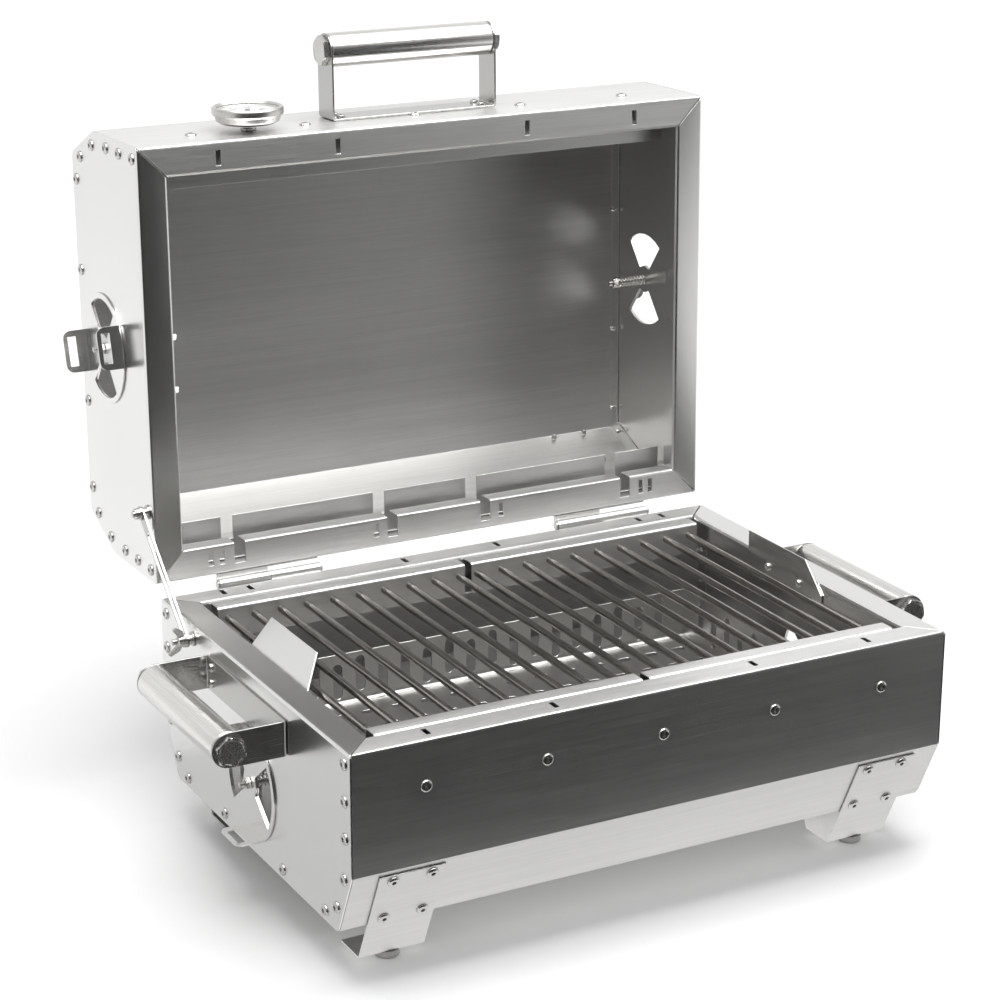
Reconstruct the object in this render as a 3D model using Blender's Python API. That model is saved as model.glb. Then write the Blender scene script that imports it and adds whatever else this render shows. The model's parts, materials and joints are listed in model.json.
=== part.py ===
"""Portable stainless steel grill: a folded sheet-metal box with a hinged lid of the same shape.

The model is built in the grill's own frame: X runs along the front, Y from the front wall to the
back wall, Z up, with the front wall's outer face at y = 0 and the rim plane at z = 0. One empty
then carries all of it to its place above the ground.
"""
from math import cos, hypot, pi, radians, sin, tan

import bmesh
import bpy
from mathutils import Matrix, Vector

# ---- box -------------------------------------------------------------------------------------
HALF = 0.250            # half the length over the end panels
DEEP = 0.3445           # front face to back face
SHEET = 0.0012          # sheet thickness
GAP = 0.0003            # clearance between neighbouring pieces
WALL = 0.0930           # height of the upright wall below the rim
CHAMFER = 0.0236        # how far the sloping lower wall leans in
SHELL = 0.1437          # rim to floor
RIM = 0.0243            # width of the flat rim strip
LIP = 0.0155            # depth of the return below the rim
FLANGE = 0.0125         # width of the flange that takes the end panel's rivets
SHELL_HALF = HALF - SHEET - GAP
LIP_HALF = HALF - RIM - 0.0004

# ---- lid and hinge ---------------------------------------------------------------------------
HINGE_Y = DEEP + 0.0082
HINGE_Z = -0.0006
LID_LEAN = 1.19         # degrees the open lid leans back from upright
LID_GAP = 0.0012        # rim plane to hinge axis in the lid's own frame
KNUCKLE_R = 0.00425
PIN_R = 0.0023
HINGE_X = 0.154
HINGE_HALF = 0.044

# ---- rails, grates, tray ---------------------------------------------------------------------
RAIL_Z = -0.0260
RAIL_REACH = 0.0385
RAIL_HALF = 0.2262
RAIL_FOOT = -0.0450
GRATE_X0 = 0.0030
GRATE_X1 = 0.2190
BRACKET_W = 0.0160
ROD_R = 0.0026
ROD_PITCH = 0.0225
ROD_FIRST = 0.0083
ROD_Z = -0.0102
ROD_COUNT = 10
TRAY_HALF = 0.2050
TRAY_Y0 = 0.0440
TRAY_Y1 = 0.3000
TRAY_FLOOR = -0.0990
TRAY_TOP = -0.0560
TRAY_SHEET = 0.0010

# ---- dampers ---------------------------------------------------------------------------------
DAMPER_Y = 0.1720
DAMPER_Z = -0.0885
DAMPER_R = 0.0445
PORT_OUT = 0.0400
PORT_IN = 0.0120
PORT_HALF_ANGLE = 38.0
EAR_AT = 0.0405
EAR_HALF = 0.0170
EAR_LONG = 0.0200
LID_EAR_TURN = -14.0       # degrees, how the lid's ears sit round their disc

# ---- handles ---------------------------------------------------------------------------------
GRIP_R = 0.0135
GRIP_LONG = 0.1420
STRAP = 0.0015
BOLT_R = 0.0040
BOLT_HEAD = 0.0050      # thickness of the hexagon head
BOLT_FLATS = 0.0210     # width across its flats
SIDE_GRIP_OUT = 0.0446
SIDE_GRIP_Y = 0.1765
SIDE_GRIP_Z = -0.0272
LID_GRIP_OUT = 0.0545
LID_GRIP_X = 0.0020
LID_GRIP_DEPTH = 0.0495

# ---- feet, stay, thermometer -----------------------------------------------------------------
FOOT_X0 = 0.1760
FOOT_X1 = 0.2280
FOOT_TOP = -0.0975
FOOT_BOTTOM = -0.1760
PAD_R = 0.0090
GROUND_Z = -0.1815
STAY_LENGTH = 0.1151
STAY_X = 0.2560
STAY_PIVOT = (0.0570, -0.0110)
STUD = (0.2800, -0.0120)
DIAL_X = -0.1440
DIAL_DEPTH = 0.0346
DIAL_R = 0.0282

CENTRE_Y = 0.25094       # middle of the whole thing, front to back, with the lid open


# ---- helpers ---------------------------------------------------------------------------------
def clear_scene():
    for item in list(bpy.data.objects):
        bpy.data.objects.remove(item, do_unlink=True)


def make_material(name, color, roughness, metallic):
    mat = bpy.data.materials.new(name)
    mat.use_nodes = True
    shader = mat.node_tree.nodes["Principled BSDF"]
    shader.inputs["Base Color"].default_value = (*color, 1.0)
    shader.inputs["Roughness"].default_value = roughness
    shader.inputs["Metallic"].default_value = metallic
    return mat


def make_empty(name, location, parent=None, turn=0.0):
    empty = bpy.data.objects.new(name, None)
    bpy.context.scene.collection.objects.link(empty)
    empty.parent = parent
    empty.location = location
    empty.rotation_euler = (turn, 0.0, 0.0)
    return empty


def make_object(name, bm, mat=None, parent=None, location=(0.0, 0.0, 0.0), smooth=0.0):
    bmesh.ops.remove_doubles(bm, verts=bm.verts, dist=1e-7)
    bmesh.ops.recalc_face_normals(bm, faces=bm.faces)
    mesh = bpy.data.meshes.new(name)
    bm.to_mesh(mesh)
    bm.free()
    obj = bpy.data.objects.new(name, mesh)
    bpy.context.scene.collection.objects.link(obj)
    obj.parent = parent
    obj.location = location
    if mat:
        mesh.materials.append(mat)
    if smooth:
        mesh.shade_smooth()
        mesh.set_sharp_from_angle(angle=radians(smooth))
    return obj


def combine(obj, tools, operation):
    """Join or cut obj with helper solids given in obj's own frame, then drop the helpers."""
    for tool in tools:
        tool.parent = obj.parent
        tool.location = obj.location
        tool.hide_render = True
        tool.display_type = "WIRE"
        mod = obj.modifiers.new("Boolean", "BOOLEAN")
        mod.operation = operation
        mod.solver = "EXACT"
        mod.object = tool
    bpy.context.view_layer.update()
    graph = bpy.context.evaluated_depsgraph_get()
    mesh = bpy.data.meshes.new_from_object(obj.evaluated_get(graph))
    obj.modifiers.clear()
    obj.data = mesh
    for tool in tools:
        bpy.data.objects.remove(tool, do_unlink=True)
    return obj


def extrude_outline(bm, points, axis, low, high):
    """Close a 2-D outline between two planes across one axis (0 = X, 1 = Y, 2 = Z)."""
    def place(point, height):
        co = list(point)
        co.insert(axis, height)
        return co

    bottom = [bm.verts.new(place(p, low)) for p in points]
    top = [bm.verts.new(place(p, high)) for p in points]
    bm.faces.new(bottom)
    bm.faces.new(list(reversed(top)))
    count = len(points)
    for i in range(count):
        j = (i + 1) % count
        bm.faces.new((bottom[i], bottom[j], top[j], top[i]))


def add_box(bm, low, high):
    outline = [(low[0], low[1]), (high[0], low[1]), (high[0], high[1]), (low[0], high[1])]
    extrude_outline(bm, outline, 2, low[2], high[2])


def box_object(low, high):
    bm = bmesh.new()
    add_box(bm, low, high)
    return make_object("tool", bm)


def circle(radius, count, centre=(0.0, 0.0), start=0.0):
    step = 2.0 * pi / count
    cx, cy = centre
    return [(cx + radius * cos(start + i * step), cy + radius * sin(start + i * step)) for i in range(count)]


def half_circle(centre, radius, start, count):
    step = pi / count
    angles = [start + i * step for i in range(count + 1)]
    return [(centre + radius * cos(a), radius * sin(a)) for a in angles]


def disc_object(radius, count, axis, low, high, centre=(0.0, 0.0), start=0.0):
    bm = bmesh.new()
    extrude_outline(bm, circle(radius, count, centre, start), axis, low, high)
    return make_object("tool", bm)


def turned(bm, profile, count, axis=0):
    """Turn a list of (position, radius) about an axis; the ends are closed with flat caps."""
    rings = []
    for place, radius in profile:
        ring = []
        for a, b in circle(radius, count):
            co = [a, b]
            co.insert(axis, place)
            ring.append(bm.verts.new(co))
        rings.append(ring)
    for first, second in zip(rings, rings[1:]):
        for i in range(count):
            j = (i + 1) % count
            bm.faces.new((first[i], first[j], second[j], second[i]))
    bm.faces.new(rings[0])
    bm.faces.new(list(reversed(rings[-1])))


def turned_ring(bm, profile, count, axis=0):
    """Turn a closed (position, radius) outline into a ring with an open bore."""
    rings = []
    for place, radius in profile:
        ring = []
        for a, b in circle(radius, count):
            co = [a, b]
            co.insert(axis, place)
            ring.append(bm.verts.new(co))
        rings.append(ring)
    for k in range(len(rings)):
        first = rings[k]
        second = rings[(k + 1) % len(rings)]
        for i in range(count):
            j = (i + 1) % count
            bm.faces.new((first[i], first[j], second[j], second[i]))


def fillet(path, radius, steps):
    """Round the inner corners of an open 2-D path."""
    result = [Vector(path[0])]
    for before, corner, after in zip(path, path[1:], path[2:]):
        corner = Vector(corner)
        to_before = (Vector(before) - corner).normalized()
        to_after = (Vector(after) - corner).normalized()
        half = to_before.angle(to_after) / 2.0
        reach = radius / tan(half)
        centre = corner + (to_before + to_after).normalized() * (radius / sin(half))
        first = corner + to_before * reach - centre
        last = corner + to_after * reach - centre
        for i in range(steps + 1):
            spoke = first.lerp(last, i / steps)
            result.append(centre + spoke.normalized() * radius)
    result.append(Vector(path[-1]))
    return result


def offset(path, distance):
    """Shift an open path sideways, to the left of its direction, keeping even thickness."""
    sides = []
    for a, b in zip(path, path[1:]):
        run = (b - a).normalized()
        sides.append(Vector((-run.y, run.x)))
    result = [path[0] + sides[0] * distance]
    for i in range(1, len(path) - 1):
        mean = (sides[i - 1] + sides[i]).normalized()
        result.append(path[i] + mean * (distance / mean.dot(sides[i])))
    result.append(path[-1] + sides[-1] * distance)
    return result


def folded_sheet(bm, path, thickness, span, axis):
    """Sweep a folded profile across an axis; span(point) gives its two ends at each bend."""
    back = offset(path, thickness)
    rows = []
    for face, rear in zip(path, back):
        low, high = span(face)
        row = []
        for point, height in ((face, low), (face, high), (rear, high), (rear, low)):
            co = [point.x, point.y]
            co.insert(axis, height)
            row.append(bm.verts.new(co))
        rows.append(row)
    for first, second in zip(rows, rows[1:]):
        for i in range(4):
            j = (i + 1) % 4
            bm.faces.new((first[i], first[j], second[j], second[i]))
    bm.faces.new(rows[0])
    bm.faces.new(list(reversed(rows[-1])))


# ---- box shells ------------------------------------------------------------------------------
def shell_path():
    corners = [
        (RIM, -LIP),
        (RIM, 0.0),
        (0.0, 0.0),
        (0.0, -WALL),
        (CHAMFER, -SHELL),
        (DEEP - CHAMFER, -SHELL),
        (DEEP, -WALL),
        (DEEP, 0.0),
        (DEEP - RIM, 0.0),
        (DEEP - RIM, -LIP),
    ]
    return fillet([Vector(p) for p in corners], 0.0024, 2)


def shell_span(point):
    if point.y < -LIP - 1e-6:
        return -SHELL_HALF, SHELL_HALF
    inward = max(0.0, min(point.x, DEEP - point.x, RIM))
    half = SHELL_HALF - (SHELL_HALF - LIP_HALF + GAP) * inward / RIM
    return -half, half


def end_flange(side):
    """Flat flange inside one end of the shell, following the walls from rim to rim."""
    outer = [(0.0, -0.0045), (0.0, -WALL), (CHAMFER, -SHELL)]
    outer += [(DEEP - CHAMFER, -SHELL), (DEEP, -WALL), (DEEP, -0.0045)]
    corners = [Vector(p) for p in outer]
    first = offset(fillet(corners, 0.0024, 2), SHEET * 0.5)
    second = offset(corners, FLANGE)
    bm = bmesh.new()
    low = side * SHELL_HALF
    high = side * (SHELL_HALF - SHEET)
    extrude_outline(bm, first + list(reversed(second)), 0, min(low, high), max(low, high))
    return make_object("tool", bm)


def front_rivets():
    """Heads of the rivets that hold the front rail, drilled through their middles."""
    bm = bmesh.new()
    profile = [(0.0003, 0.0046), (-0.0004, 0.0046), (-0.0016, 0.0038), (-0.0025, 0.0020), (-0.0014, 0.0016)]
    for x in (-0.192, -0.096, 0.0, 0.096, 0.192):
        head = bmesh.new()
        turned(head, profile, 12, axis=1)
        bmesh.ops.translate(head, vec=(x, 0.0, -0.0345), verts=head.verts)
        mesh = bpy.data.meshes.new("head")
        head.to_mesh(mesh)
        head.free()
        bm.from_mesh(mesh)
        bpy.data.meshes.remove(mesh)
    return make_object("tool", bm)


def rim_slots(places, width, length):
    bm = bmesh.new()
    for x, y in places:
        add_box(bm, (x - width / 2, y - length / 2, -0.004), (x + width / 2, y + length / 2, 0.002))
    return make_object("tool", bm)


def mirror_x(places):
    return [(sign * x, y) for x, y in places for sign in (-1, 1)]


def make_shell(name, mat, parent, slots, location=(0.0, 0.0, 0.0)):
    bm = bmesh.new()
    folded_sheet(bm, shell_path(), SHEET, shell_span, 0)
    shell = make_object(name, bm, mat, parent, location)
    combine(shell, [end_flange(-1), end_flange(1)], "UNION")
    combine(shell, [slots], "DIFFERENCE")
    return shell


def base_slots():
    places = mirror_x([(0.0840, 0.0132), (0.1855, 0.0132), (0.0425, DEEP - 0.0103), (0.1790, DEEP - 0.0103)])
    places += mirror_x([(0.2020, DEEP - 0.0103)])
    return rim_slots(places, 0.0040, 0.0100)


def lid_slots():
    places = mirror_x([(0.0838, DEEP - 0.0127), (0.1840, DEEP - 0.0127), (0.1935, 0.0138), (0.2028, 0.0138)])
    places += mirror_x([(0.0575, 0.0145)])
    return rim_slots(places, 0.0042, 0.0118)


def lid_notches():
    bm = bmesh.new()
    for x in (-0.1780, -0.0430, 0.0430, 0.1780):
        add_box(bm, (x - 0.0046, 0.0070, -0.0200), (x + 0.0046, 0.0300, 0.0020))
    return make_object("tool", bm)


def end_outline():
    """Rows of (z, y0, y1) down the end panel, wide above and narrow at the floor."""
    corners = [(0.0, -0.004), (0.0, -WALL), (CHAMFER, -SHELL), (DEEP / 2, -SHELL)]
    edge = fillet([Vector(p) for p in corners], 0.0070, 3)
    rows = [(p.y, p.x, DEEP - p.x) for p in edge[:-1]]
    return list(reversed(rows))


def make_end(name, side, mat, parent, location=(0.0, 0.0, 0.0)):
    outline = end_outline()
    bends = [(-HALF, -0.012), (-HALF, 0.0), (-HALF + RIM, 0.0), (-HALF + RIM, -LIP)]
    top = fillet([Vector(p) for p in bends], 0.0026, 2)
    path = [Vector((-HALF, row[0])) for row in outline[:-1]] + top
    table = {round(row[0], 7): row for row in outline}

    def span(point):
        row = table.get(round(point.y, 7))
        if row and point.x <= -HALF + 1e-6:
            return row[1], row[2]
        reach = max(0.0, point.x + HALF) + 0.0004
        if point.x <= -HALF + 1e-6:
            reach = 0.0
        return reach, DEEP - reach

    bm = bmesh.new()
    folded_sheet(bm, path, -SHEET, span, 1)
    if side > 0:
        bmesh.ops.scale(bm, vec=(-1.0, 1.0, 1.0), verts=bm.verts)
    end = make_object(name, bm, mat, parent, location)
    ports = port_cutter(side, 0.0)
    hub = disc_object(0.0030, 10, 0, -0.26, 0.26, (DAMPER_Y, DAMPER_Z))
    combine(end, [ports, hub], "DIFFERENCE")
    return end


def port_cutter(side, at_x, shift=(DAMPER_Y, DAMPER_Z)):
    """Two facing sectors that let air through, spread along Y."""
    bm = bmesh.new()
    half = radians(PORT_HALF_ANGLE)
    low, high = sorted((side * (HALF - 0.02) + at_x, side * (HALF + 0.02) + at_x))
    for turn in (0.0, pi):
        angles = [turn - half + half * i / 3 for i in range(7)]
        outline = [(shift[0] + PORT_OUT * cos(a), shift[1] + PORT_OUT * sin(a)) for a in angles]
        outline += [(shift[0] + PORT_IN * cos(a), shift[1] + PORT_IN * sin(a)) for a in angles[::-3]]
        extrude_outline(bm, outline, 0, low, high)
    return make_object("tool", bm)


# ---- rails -----------------------------------------------------------------------------------
def swap_front_and_back(bm):
    turn = Matrix.Translation((0.0, DEEP, 0.0)) @ Matrix.Scale(-1.0, 4, (0.0, 1.0, 0.0))
    bmesh.ops.transform(bm, matrix=turn, verts=bm.verts)


def make_rail(name, at_back, notched, mat, parent, location=(0.0, 0.0, 0.0)):
    """Angle strip on the inside of a long wall; its flat leg carries the grates."""
    start = SHEET + GAP
    bends = [Vector((start, RAIL_FOOT)), Vector((start, RAIL_Z)), Vector((RAIL_REACH, RAIL_Z))]
    path = fillet(bends, 0.0020, 2)
    bm = bmesh.new()
    folded_sheet(bm, path, -SHEET, lambda p: (-RAIL_HALF, RAIL_HALF), 0)
    if at_back:
        swap_front_and_back(bm)
    rail = make_object(name, bm, mat, parent, location)
    if notched:
        bm = bmesh.new()
        for x in (-0.1780, -0.0430, 0.0430, 0.1780):
            add_box(bm, (x - 0.0052, 0.0190, RAIL_Z - 0.003), (x + 0.0052, 0.0450, RAIL_Z + 0.003))
        combine(rail, [make_object("tool", bm)], "DIFFERENCE")
    return rail


# ---- grates ----------------------------------------------------------------------------------
def bracket_bm(at_back):
    near = RIM + GAP + 0.0002
    far = near + BRACKET_W
    top = -0.0006
    corners = [(near, -0.0110), (near, top), (far, top), (far, RAIL_Z + GAP)]
    path = fillet([Vector(p) for p in corners], 0.0026, 2)
    bm = bmesh.new()
    folded_sheet(bm, path, -SHEET, lambda p: (GRATE_X0, GRATE_X1), 0)
    if at_back:
        swap_front_and_back(bm)
    return bm


def make_grate(name, side, mat, parent):
    bm = bmesh.new()
    for i in range(ROD_COUNT):
        centre = (ROD_FIRST + i * ROD_PITCH, ROD_Z)
        extrude_outline(bm, circle(ROD_R, 8, centre, pi / 8), 1, 0.0385, DEEP - 0.0385)
    rods = make_object("tool", bm)
    grate = make_object(name, bracket_bm(False), mat, parent)
    back = make_object("tool", bracket_bm(True))
    combine(grate, [back, rods], "UNION")
    if side < 0:
        bm = bmesh.new()
        bm.from_mesh(grate.data)
        bmesh.ops.scale(bm, vec=(-1.0, 1.0, 1.0), verts=bm.verts)
        bmesh.ops.reverse_faces(bm, faces=bm.faces)
        bm.to_mesh(grate.data)
        bm.free()
    return grate


# ---- charcoal tray ---------------------------------------------------------------------------
def tray_slots():
    """Staggered upright slots through both long walls."""
    bm = bmesh.new()
    for i in range(19):
        x = (i - 9) * 0.0200
        low = TRAY_FLOOR + (0.0050 if i % 2 else 0.0095)
        high = low + 0.0290
        add_box(bm, (x - 0.0040, TRAY_Y0 - 0.01, low), (x + 0.0040, TRAY_Y1 + 0.01, high))
    return make_object("tool", bm)


def tray_floor_holes():
    bm = bmesh.new()
    for i in range(14):
        x = (i - 6.5) * 0.0262
        for k in range(4):
            y = DEEP / 2 + (k - 1.5) * 0.0640
            low = (x - 0.0060, y - 0.0030, TRAY_FLOOR - 0.01)
            high = (x + 0.0060, y + 0.0030, TRAY_FLOOR + 0.01)
            add_box(bm, low, high)
    return make_object("tool", bm)


def make_tray(name, mat, parent):
    """Trough of two walls and a floor between two end plates that reach the box floor as legs."""
    corners = [(TRAY_Y0, TRAY_TOP), (TRAY_Y0, TRAY_FLOOR), (TRAY_Y1, TRAY_FLOOR), (TRAY_Y1, TRAY_TOP)]
    path = fillet([Vector(p) for p in corners], 0.0050, 3)
    bm = bmesh.new()
    folded_sheet(bm, path, TRAY_SHEET, lambda p: (-TRAY_HALF, TRAY_HALF), 0)
    tray = make_object(name, bm, mat, parent)
    ends = []
    foot = -SHELL + SHEET + GAP
    for side in (-1, 1):
        plate = bmesh.new()
        outline = [
            (TRAY_Y0, TRAY_TOP), (TRAY_Y0, foot),
            (TRAY_Y0 + 0.04, foot), (TRAY_Y0 + 0.05, TRAY_FLOOR - 0.012),
            (TRAY_Y1 - 0.05, TRAY_FLOOR - 0.012), (TRAY_Y1 - 0.04, foot),
            (TRAY_Y1, foot), (TRAY_Y1, TRAY_TOP),
        ]
        low, high = sorted((side * (TRAY_HALF - 0.0002), side * (TRAY_HALF + 0.0010)))
        extrude_outline(plate, outline, 0, low, high)
        ends.append(make_object("tool", plate))
    combine(tray, ends, "UNION")
    combine(tray, [tray_slots(), tray_floor_holes()], "DIFFERENCE")
    return tray


# ---- guide plates ----------------------------------------------------------------------------
def make_guide(name, side, lean, mat, parent):
    """Sheet tab on the end lip that stands above the rim; one of the two is bent inwards."""
    x0 = -HALF + RIM + GAP
    corners = [(x0, -0.0180), (x0, -0.0095), (x0 + lean, 0.0140)]
    path = fillet([Vector(p) for p in corners], 0.0030, 3) if lean else [Vector(p) for p in corners]

    def span(point):
        rise = max(0.0, min(1.0, (point.y + 0.0010) / 0.0150))
        return 0.1270 + 0.0240 * rise, 0.2325

    bm = bmesh.new()
    folded_sheet(bm, path, -SHEET, span, 1)
    if side > 0:
        bmesh.ops.scale(bm, vec=(-1.0, 1.0, 1.0), verts=bm.verts)
    return make_object(name, bm, mat, parent)


# ---- hinges ----------------------------------------------------------------------------------
def make_leaf(name, centre_x, knuckle_side, mirrored, mat, parent, location):
    """Leaf in a frame centred on the hinge axis: plate on the wall, neck under it, knuckle."""
    out = HINGE_Y - DEEP
    low = centre_x - HINGE_HALF
    high = centre_x + HINGE_HALF
    if knuckle_side < 0:
        k_low, k_high = low, centre_x - 0.00015
    else:
        k_low, k_high = centre_x + 0.00015, high
    neck_z = -KNUCKLE_R + SHEET
    bm = bmesh.new()
    add_box(bm, (low, -out + GAP, -0.0290), (high, -out + GAP + SHEET, neck_z - SHEET * 0.6))
    leaf = make_object(name, bm, mat, parent, location)
    neck = box_object((k_low, -out + GAP, neck_z - SHEET), (k_high, 0.0, neck_z))
    barrel = disc_object(KNUCKLE_R, 20, 0, k_low, k_high)
    combine(leaf, [neck, barrel], "UNION")
    bore = disc_object(PIN_R + GAP, 16, 0, low - 0.01, high + 0.01)
    combine(leaf, [bore], "DIFFERENCE")
    if mirrored:
        bm = bmesh.new()
        bm.from_mesh(leaf.data)
        bmesh.ops.scale(bm, vec=(1.0, -1.0, 1.0), verts=bm.verts)
        bmesh.ops.reverse_faces(bm, faces=bm.faces)
        bm.to_mesh(leaf.data)
        bm.free()
    return leaf


def make_hinge_pin(name, centre_x, mat, parent, location):
    end = HINGE_HALF + GAP
    head = PIN_R + 0.0013
    bm = bmesh.new()
    profile = [(-end - 0.0012, head * 0.8), (-end - 0.0006, head), (-end, head), (-end, PIN_R)]
    profile += [(-p, r) for p, r in reversed(profile)]
    turned(bm, [(centre_x + p, r) for p, r in profile], 16)
    return make_object(name, bm, mat, parent, location, smooth=35)


# ---- dampers ---------------------------------------------------------------------------------
def ear_object(side, up):
    """Finger tab standing off the disc, slotted, with rounded outer corners."""
    foot = 0.0004
    tip = EAR_LONG
    round_r = 0.0060
    corners = [(foot, -EAR_HALF), (tip, -EAR_HALF), (tip, EAR_HALF), (foot, EAR_HALF)]
    outline = fillet([Vector(p) for p in corners], round_r, 3)
    bm = bmesh.new()
    low, high = sorted((up * EAR_AT, up * (EAR_AT + SHEET)))
    extrude_outline(bm, [(side * p.x, p.y) for p in outline], 2, low, high)
    ear = make_object("tool", bm)
    slot = bmesh.new()
    a, b, c, d = tip - 0.0105, tip - 0.0035, -0.0120, 0.0120
    cut = [(a, c), (b, c), (b, d), (a, d)]
    extrude_outline(slot, [(side * x, y) for x, y in cut], 2, low - 0.01, high + 0.01)
    return combine(ear, [make_object("tool", slot)], "DIFFERENCE")


def make_damper(name, side, mat, parent, location, ear_turn):
    low, high = sorted((0.0, side * SHEET))
    bm = bmesh.new()
    extrude_outline(bm, circle(DAMPER_R, 32), 0, low, high)
    disc = make_object(name, bm, mat, parent, location)
    ports = port_cutter(side, -side * HALF, (0.0, 0.0))
    hub = disc_object(0.0030, 10, 0, -0.01, 0.01)
    combine(disc, [ports, hub], "DIFFERENCE")
    ears = [ear_object(side, 1), ear_object(side, -1)]
    for ear in ears:
        ear.data.transform(Matrix.Rotation(radians(ear_turn), 4, "X"))
    combine(disc, ears, "UNION")
    return disc


def make_damper_screw(name, side, mat, parent, location):
    """Screw through the disc and the panel: nut outside, washer and lock nut on the inner end."""
    r = 0.0025
    profile = [(0.0105, 0.0020), (0.0102, r), (0.0062, r)]
    profile += [(0.0062, 0.0045), (0.0018, 0.0045), (0.0018, r)]
    profile += [(-0.0300, r), (-0.0300, 0.0046), (-0.0345, 0.0046)]
    profile += [(-0.0345, r), (-0.0375, r), (-0.0378, 0.0020)]
    bm = bmesh.new()
    turned(bm, [(side * p, radius) for p, radius in profile], 12)
    return make_object(name, bm, mat, parent, location, smooth=35)


def make_damper_spring(name, side, mat, parent, location):
    """Closed-coil compression spring, kept as the sleeve its coils fill."""
    outline = [(0.0004, 0.0030), (0.0004, 0.0048), (0.0282, 0.0048), (0.0282, 0.0030)]
    bm = bmesh.new()
    turned_ring(bm, [(-side * p, r) for p, r in outline], 12)
    return make_object(name, bm, mat, parent, location, smooth=35)


# ---- handles ---------------------------------------------------------------------------------
def grip_bracket(name, out, mat, parent, location, turn):
    """U-shaped strap. Frame: X along the grip, Z outwards from the wall it is bolted to."""
    half = GRIP_LONG / 2 + STRAP + GAP
    width = GRIP_R
    corners = [(-half, out), (-half, GAP), (half, GAP), (half, out)]
    path = fillet([Vector(p) for p in corners], 0.0022, 2)
    bm = bmesh.new()
    folded_sheet(bm, path, STRAP, lambda p: (-width, width), 1)
    bracket = make_object(name, bm, mat)
    rounds = []
    for low, high in ((-half, -half + STRAP), (half - STRAP, half)):
        rounds.append(disc_object(GRIP_R, 24, 0, low, high, (0.0, out)))
    combine(bracket, rounds, "UNION")
    bore = disc_object(BOLT_R + GAP, 16, 0, -half - 0.01, half + 0.01, (0.0, out))
    combine(bracket, [bore], "DIFFERENCE")
    return seat(bracket, parent, location, turn)


def seat(obj, parent, location, turn):
    """Turn a piece's mesh by a whole-number matrix and put the piece in its place."""
    obj.data.transform(turn)
    obj.parent = parent
    obj.location = location
    return obj


def grip_tube(name, out, mat, parent, location, turn):
    half = GRIP_LONG / 2
    outer = GRIP_R
    inner = BOLT_R + 0.0006
    outline = [(-half, inner), (-half, outer), (half, outer), (half, inner)]
    bm = bmesh.new()
    turned_ring(bm, outline, 24)
    bmesh.ops.translate(bm, vec=(0.0, 0.0, out), verts=bm.verts)
    tube = make_object(name, bm, mat, smooth=40)
    return seat(tube, parent, location, turn)


def grip_bolt(name, out, mat, parent, location, turn):
    start = GRIP_LONG / 2 + STRAP + 2 * GAP
    bm = bmesh.new()
    extrude_outline(bm, circle(BOLT_R, 12), 0, -start - 0.001, start + 0.001)
    bolt = make_object(name, bm, mat)
    heads = []
    for side in (-1, 1):
        head = bmesh.new()
        low, high = sorted((side * start, side * (start + BOLT_HEAD)))
        corner = BOLT_FLATS / 2 / cos(pi / 6)
        extrude_outline(head, circle(corner, 6, (0.0, 0.0), radians(12)), 0, low, high)
        heads.append(make_object("tool", head))
    combine(bolt, heads, "UNION")
    bolt.data.transform(Matrix.Translation((0.0, 0.0, out)))
    return seat(bolt, parent, location, turn)


def make_grip(tag, out, mats, parent, location, turn):
    grip_bracket("handle_bracket_" + tag, out, mats["strap"], parent, location, turn)
    grip_tube("handle_tube_" + tag, out, mats["tube"], parent, location, turn)
    grip_bolt("handle_bolt_" + tag, out, mats["fastener"], parent, location, turn)


# ---- feet ------------------------------------------------------------------------------------
def make_foot(name, side, at_back, mat, parent):
    """Folded bracket on the sloping wall: slanted plate, flat sole and an inner gusset."""
    slope = CHAMFER / (SHELL - WALL)
    norm = hypot(1.0, slope)

    def slant_y(z):
        return (-WALL - z) * slope - (GAP + SHEET) * norm

    toe = slant_y(FOOT_BOTTOM)
    corners = [(slant_y(FOOT_TOP), FOOT_TOP), (toe, FOOT_BOTTOM), (toe + 0.030, FOOT_BOTTOM)]
    path = fillet([Vector(p) for p in corners], 0.0020, 2)
    bm = bmesh.new()
    folded_sheet(bm, path, SHEET, lambda p: (FOOT_X0, FOOT_X1), 0)
    foot = make_object(name, bm, mat, parent)
    under = -SHELL - GAP
    gusset = bmesh.new()
    outline = [
        (slant_y(under) + 0.0006, under), (slant_y(FOOT_BOTTOM) + 0.0006, FOOT_BOTTOM + 0.0006),
        (slant_y(FOOT_BOTTOM) + 0.030, FOOT_BOTTOM + 0.0006), (slant_y(under) + 0.058, under),
    ]
    extrude_outline(gusset, outline, 0, FOOT_X0, FOOT_X0 + SHEET)
    combine(foot, [make_object("tool", gusset)], "UNION")
    flip = Matrix.Diagonal((side, -1.0 if at_back else 1.0, 1.0, 1.0))
    move = Matrix.Translation((0.0, DEEP if at_back else 0.0, 0.0))
    foot.data.transform(move @ flip)
    if side * (-1 if at_back else 1) < 0:
        foot.data.flip_normals()
    return foot


def make_pad(name, side, at_back, mat, parent):
    y = 0.0445
    if at_back:
        y = DEEP - y
    x = side * (FOOT_X0 + FOOT_X1) / 2
    bm = bmesh.new()
    profile = [(FOOT_BOTTOM - GAP, PAD_R), (GROUND_Z + 0.0008, PAD_R), (GROUND_Z, PAD_R - 0.0010)]
    turned(bm, profile, 24, axis=2)
    return make_object(name, bm, mat, parent, (x, y, 0.0), smooth=35)


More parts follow.
